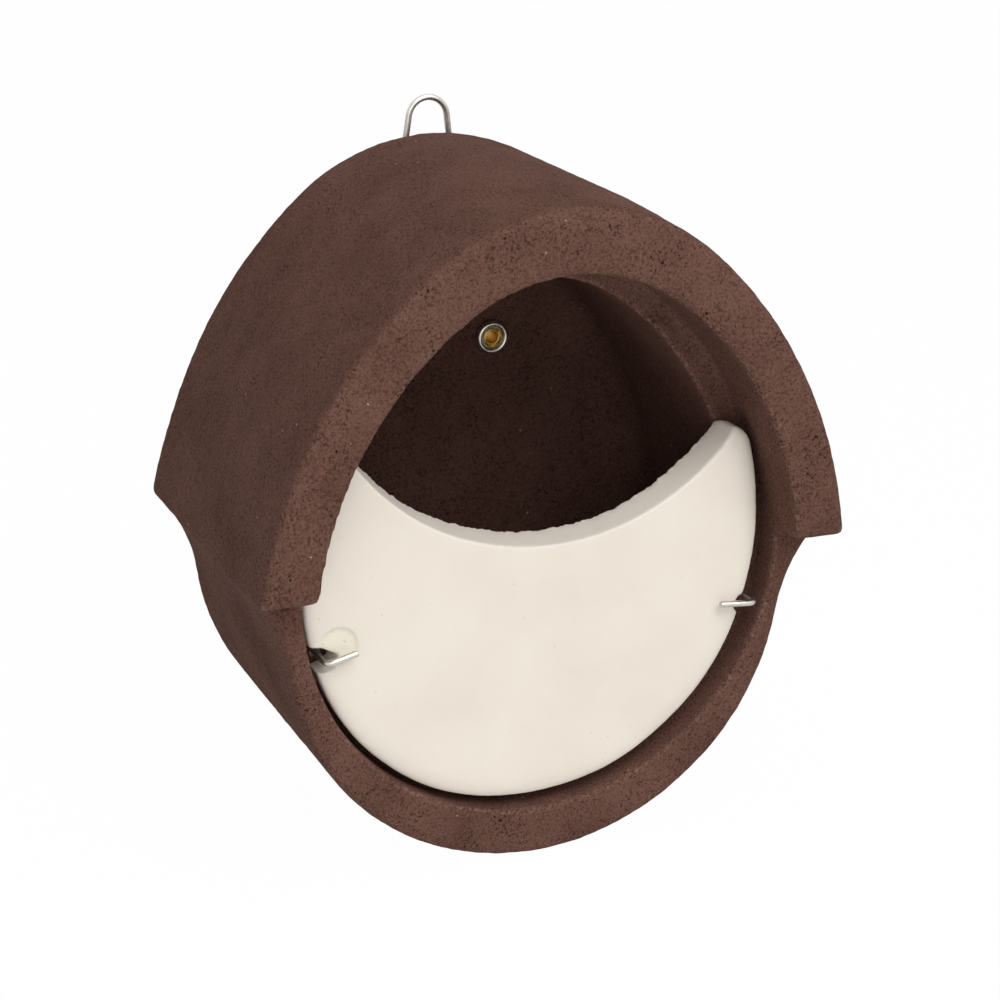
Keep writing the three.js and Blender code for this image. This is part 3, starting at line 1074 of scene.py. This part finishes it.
@dataclass
class Wire:
    """Round wire that is laid straight and swung round bends, from a start section.

    Sizes are in millimetres.
    """

    radius: float = 1.0
    sides: int = 20
    end_round: float = 0.3

    def start(self, at: Vector, along: Vector) -> None:
        """Sets the first section.

        Args:
            at: Its centre.
            along: The direction in which the wire sets out.
        """
        self.bm = bmesh.new()
        turn = Vector((0, 0, 1)).rotation_difference(along).to_matrix().to_4x4()
        bmesh.ops.create_circle(
            self.bm,
            cap_ends=True,
            segments=self.sides,
            radius=self.radius,
            matrix=Matrix.Translation(at) @ turn,
        )
        self.ring = self.bm.edges[:]
        self.at = at.copy()
        self.along = along.normalized()

    def straight(self, length: float) -> None:
        """Lays a straight run."""
        made = bmesh.ops.extrude_edge_only(self.bm, edges=self.ring)["geom"]
        verts = [g for g in made if isinstance(g, bmesh.types.BMVert)]
        bmesh.ops.translate(self.bm, verts=verts, vec=self.along * length)
        self.ring = [g for g in made if isinstance(g, bmesh.types.BMEdge)]
        self.ring = [e for e in self.ring if all(v in verts for v in e.verts)]
        self.at += self.along * length

    def bend(self, towards: Vector, radius: float, angle: float) -> None:
        """Swings the wire round a bend.

        Args:
            towards: The side that the wire bends to.
            radius: Radius of the bend at the wire's centre.
            angle: How far it bends.
        """
        centre = self.at + towards.normalized() * radius
        axis = self.along.cross(towards).normalized()
        made = bmesh.ops.spin(
            self.bm,
            geom=self.ring,
            cent=centre,
            axis=axis,
            angle=angle,
            steps=max(3, math.ceil(angle / BEND_STEP)),
            use_duplicate=False,
        )["geom_last"]
        self.ring = [g for g in made if isinstance(g, bmesh.types.BMEdge)]
        turn = Matrix.Rotation(angle, 3, axis)
        self.at = centre + turn @ (self.at - centre)
        self.along = turn @ self.along

    def close(self) -> bmesh.types.BMesh:
        """Caps the end, rounds both ends' edges and gives the finished mesh."""
        bmesh.ops.contextual_create(self.bm, geom=self.ring)
        bmesh.ops.remove_doubles(self.bm, verts=self.bm.verts[:], dist=SAME_ON_WIRE)
        bmesh.ops.recalc_face_normals(self.bm, faces=self.bm.faces[:])
        self.bm = in_order(self.bm)
        caps = [f for f in self.bm.faces if len(f.verts) == self.sides]
        round_off(self.bm, [e for f in caps for e in f.edges], self.end_round, 3)
        return self.bm


@dataclass
class Hook:
    """A bent wire hook: a shaft into the ledge and a leg across the panel's edge.

    Sizes are in millimetres.
    """

    hand: int
    reach: float
    rise: float
    half_span: float = 71.2
    height: float = -23.5
    rear: float = -76.7
    leg: float = -103.1
    bend_radius: float = 2.5

    def build(self, name: str, steel: bpy.types.Material) -> None:
        """Bends the wire and dresses it.

        Args:
            name: The node that the hook stands for, which is also its body.
            steel: Its material.
        """
        wire = Wire()
        wire.start(Vector((self.hand * self.half_span, self.rear, self.height)), TOWARDS_FRONT)
        wire.straight(self.rear - self.leg - self.bend_radius)
        inward = Vector((-self.hand * math.cos(self.rise), 0, math.sin(self.rise)))
        wire.bend(inward, self.bend_radius, math.pi / 2)
        wire.straight(self.reach - self.bend_radius)
        piece = Workpiece("wire_" + name, wire.close())
        piece.finish(steel, name, "steel_wire", name)


@dataclass
class HangingLoop:
    """The wire loop that is cast into the back of the roof.

    Sizes are in millimetres.
    """

    plane: float = -2.8
    offset: float = -1.5
    top: float = 122.3
    radius: float = 6.5
    leg: float = 17
    splay: float = math.radians(8)

    def build(self, steel: bpy.types.Material) -> None:
        """Bends the loop and dresses it.

        Args:
            steel: Its material.
        """
        centre = Vector((self.offset, self.plane, self.top - self.radius))
        out = Vector((math.cos(self.splay), 0, math.sin(self.splay)))
        up = Vector((-math.sin(self.splay), 0, math.cos(self.splay)))
        wire = Wire()
        wire.start(centre + out * self.radius - up * self.leg, up)
        wire.straight(self.leg)
        wire.bend(-out, self.radius, math.pi - 2 * self.splay)
        wire.straight(self.leg)
        piece = Workpiece("wire_hanging_loop", wire.close())
        piece.finish(steel, "body", "steel_wire", "hanging_loop")


@dataclass
class Eyelet:
    """A brass eyelet through the back wall, with the bright washer that its flange sits in.

    Sizes are in millimetres.
    """

    hand: int
    half_span: float = 16
    height: float = 45.5
    wall: float = -17
    bore: float = 2.0
    tube: float = 2.9
    flange: float = 3.4
    flange_face: float = -19.0
    funnel: float = 1.1
    lip: float = 0.3
    burr: float = 0.2
    step: float = 0.5
    rear: float = -0.3
    edge_round: float = 0.12
    sharp_from: float = math.radians(30)
    turns: int = 64
    washer: float = 5.6
    washer_bore: float = 3.2
    washer_back: float = -17.3
    washer_seat: float = -17.9
    washer_edge: float = 0.5
    washer_face: float = -19.2
    washer_play: float = 0.15

    def turn(self, name: str, profile: list[Point]) -> Workpiece:
        """Turns a closed profile of radius and Y about the eyelet's axis.

        Args:
            name: The piece's name.
            profile: The profile's corners in order.

        Returns:
            The turned workpiece.
        """
        bm = bmesh.new()
        axis = Vector((self.hand * self.half_span, 0, self.height))
        verts = [bm.verts.new(axis + Vector((r, y, 0))) for r, y in profile]
        edges = [bm.edges.new(pair) for pair in zip(verts, verts[1:] + verts[:1])]
        bmesh.ops.spin(
            bm,
            geom=edges,
            cent=axis,
            axis=TOWARDS_FRONT,
            angle=math.tau,
            steps=self.turns,
            use_merge=True,
            use_duplicate=False,
        )
        bmesh.ops.remove_doubles(bm, verts=bm.verts[:], dist=SAME_ON_WIRE)
        bmesh.ops.recalc_face_normals(bm, faces=bm.faces[:])
        return Workpiece(name, in_order(bm))

    def soften(self, piece: Workpiece) -> None:
        """Rounds the sharp turned edges."""
        bm = bmesh.new()
        bm.from_mesh(piece.obj.data)
        sharp = [e for e in bm.edges if e.calc_face_angle(0) > self.sharp_from]
        round_off(bm, sharp, self.edge_round, 3)
        bm.to_mesh(piece.obj.data)
        bm.free()

    def build(self, side: str, brass: bpy.types.Material, zinc: bpy.types.Material) -> None:
        """Turns both pieces and dresses them.

        Args:
            side: The side's name, as the nodes have it.
            brass: The eyelet's material.
            zinc: The washer's material.
        """
        seat = self.washer_seat - self.lip
        floor = self.flange_face + self.funnel
        eyelet = self.turn(
            "brass_eyelet_" + side,
            [
                (self.bore, self.rear),
                (self.tube, self.rear),
                (self.tube, seat),
                (self.flange, seat),
                (self.flange, self.flange_face + self.lip),
                (self.flange - self.lip, self.flange_face),
                (self.bore + self.step, floor),
                (self.bore + self.lip, floor - self.burr),
                (self.bore, floor + self.burr / 2),
            ],
        )
        self.soften(eyelet)
        eyelet.finish(brass, "body", "brass", "eyelet_" + side)
        inner = self.flange + self.washer_play
        middle, half = (self.washer + inner) / 2, (self.washer - inner) / 2
        base = self.washer_back - self.washer_edge
        turns = [math.pi * step / 10 for step in range(11)]
        dome = [
            (middle + half * math.cos(t), base + (self.washer_face - base) * math.sin(t))
            for t in turns
        ]
        washer = self.turn(
            "domed_washer_" + side,
            [
                (self.washer_bore, self.washer_back),
                (self.washer, self.washer_back),
                *dome,
                (inner, self.washer_seat),
                (self.washer_bore, self.washer_seat),
            ],
        )
        washer.finish(zinc, "body", "zinc_plate", "washer_" + side)


@dataclass
class Sleeves:
    """The plastic plugs in the ledge that the hooks turn in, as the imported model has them."""

    sides: tuple[str, ...] = ("left", "right")

    def build(self, plastic: bpy.types.Material) -> None:
        """Dresses the plugs.

        Args:
            plastic: Their material.
        """
        for side in self.sides:
            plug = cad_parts["hook_sleeve_" + side]
            plug.data.materials.clear()
            plug.data.materials.append(plastic)
            log.info("%s dressed", plug.name)


@dataclass(frozen=True)
class Lamp:
    """A soft square lamp that points at the object. Lengths are in metres.

    Its level is the one at which it alone lights a surface that faces it, 1 for white as white.
    """

    name: str
    direction: Point3
    level: float
    size: float = 1.2
    away: float = 1.6

    def hang(self, target: Vector) -> None:
        """Hangs the lamp in its direction from what it lights."""
        direction = Vector(self.direction)
        data = bpy.data.lights.new(self.name, "AREA")
        data.size = self.size
        data.energy = self.level * math.pi**2 * self.away**2
        lamp = bpy.data.objects.new(self.name, data)
        lamp.location = target + direction.normalized() * self.away
        lamp.rotation_euler = direction.to_track_quat("Z", "Y").to_euler()
        bpy.context.scene.collection.objects.link(lamp)


@dataclass
class Studio:
    """Pale floor, soft lamps and the camera at the photograph's angle. Lengths are in metres."""

    azimuth: float = math.radians(-23.93)
    elevation: float = math.radians(19.25)
    roll: float = math.radians(1.40)
    distance: float = 0.67605
    target: Vector = field(default_factory=lambda: Vector((-0.02321, -0.116, 0.02606)))
    lens_mm: float = 84.74
    floor_size: float = 30
    floor_height: float = -0.0995
    ambient: float = 0.26
    floor_glow: float = 0.985
    lamps: tuple[Lamp, ...] = (
        Lamp("key", (0.22, -0.95, 1.0), 0.555),
        Lamp("fill", (-0.8, -1.0, 0.35), 0.11, size=1.0),
        Lamp("top", (0.0, -0.4, 1.0), 0.32),
        Lamp("glint", (-0.3, -1.0, 0.3), 0.03, size=0.3),
    )

    def camera(self) -> None:
        """Sets up the camera."""
        a, e = self.azimuth, self.elevation
        back = Vector((math.sin(a) * math.cos(e), -math.cos(a) * math.cos(e), math.sin(e)))
        right = Vector((math.cos(a), math.sin(a), 0))
        turn = Matrix((right, back.cross(right), back)).transposed() @ Matrix.Rotation(
            self.roll, 3, "Z"
        )
        data = bpy.data.cameras.new("camera")
        data.lens = self.lens_mm
        camera = bpy.data.objects.new("camera", data)
        place = Matrix.Translation(self.target + back * self.distance)
        camera.matrix_world = place @ turn.to_4x4()
        bpy.context.scene.collection.objects.link(camera)
        bpy.context.scene.camera = camera

    def world(self) -> None:
        """Fills the room with even light, and shows it white to the camera and in reflections."""
        world = bpy.data.worlds.new("studio")
        bpy.context.scene.world = world
        world.use_nodes = True
        tree = world.node_tree
        tree.nodes.clear()
        path = add_node(tree, "ShaderNodeLightPath")
        seen = add_node(
            tree,
            "ShaderNodeMath",
            {0: path.outputs["Is Camera Ray"], 1: path.outputs["Is Glossy Ray"]},
            operation="MAXIMUM",
        )
        strength = add_node(
            tree,
            "ShaderNodeMapRange",
            {"Value": seen.outputs[0], "To Min": self.ambient, "To Max": 1.0},
        )
        light = add_node(
            tree,
            "ShaderNodeBackground",
            {"Color": linear("#ffffff"), "Strength": strength.outputs[0]},
        )
        add_node(tree, "ShaderNodeOutputWorld", {"Surface": light.outputs[0]})

    def floor(self) -> None:
        """Lays the floor, which the camera sees nearly white and which keeps the shadow."""
        bm = bmesh.new()
        bmesh.ops.create_grid(
            bm,
            x_segments=2,
            y_segments=2,
            size=self.floor_size / 2,
            matrix=Matrix.Translation((0, 0, self.floor_height)),
        )
        mesh = bpy.data.meshes.new("floor")
        bm.to_mesh(mesh)
        bm.free()
        floor = bpy.data.objects.new("floor", mesh)
        bpy.context.scene.collection.objects.link(floor)
        made = bpy.data.materials.new("floor_paper_white")
        made.use_nodes = True
        tree = made.node_tree
        tree.nodes.clear()
        path = add_node(tree, "ShaderNodeLightPath")
        matt = add_node(tree, "ShaderNodeBsdfDiffuse", {"Color": linear("#fbfbfa")})
        glow = add_node(tree, "ShaderNodeEmission", {"Strength": 1.0})
        seen = add_node(
            tree,
            "ShaderNodeMath",
            {0: path.outputs["Is Camera Ray"], 1: self.floor_glow},
            operation="MULTIPLY",
        )
        mixed = add_node(
            tree,
            "ShaderNodeMixShader",
            {0: seen.outputs[0], 1: matt.outputs[0], 2: glow.outputs[0]},
        )
        add_node(tree, "ShaderNodeOutputMaterial", {"Surface": mixed.outputs[0]})
        mesh.materials.append(made)

    def build(self) -> None:
        """Sets up the whole studio."""
        bpy.context.scene.view_settings.view_transform = "Standard"
        self.camera()
        self.world()
        self.floor()
        for lamp in self.lamps:
            lamp.hang(self.target)


def main() -> None:
    """Builds every piece of the object and the studio around it."""
    logging.basicConfig(level=logging.INFO, format="%(name)s: %(message)s")
    Studio().build()
    woodcrete = Woodcrete().material()
    paint = MasonryPaint().material()
    steel, zinc, brass = (metal.material() for metal in (STEEL, ZINC, BRASS))
    plastic = MouldedPlastic().material()
    Shell().build(woodcrete)
    FrontPanel().build(paint)
    HangingLoop().build(steel)
    Hook(hand=-1, reach=9.8, rise=math.radians(14)).build("hook_left", steel)
    Hook(hand=1, reach=12.7, rise=math.radians(5)).build("hook_right", steel)
    Eyelet(hand=-1).build("left", brass, zinc)
    Eyelet(hand=1).build("right", brass, zinc)
    Sleeves().build(plastic)


if __name__ == "__main__":
    main()
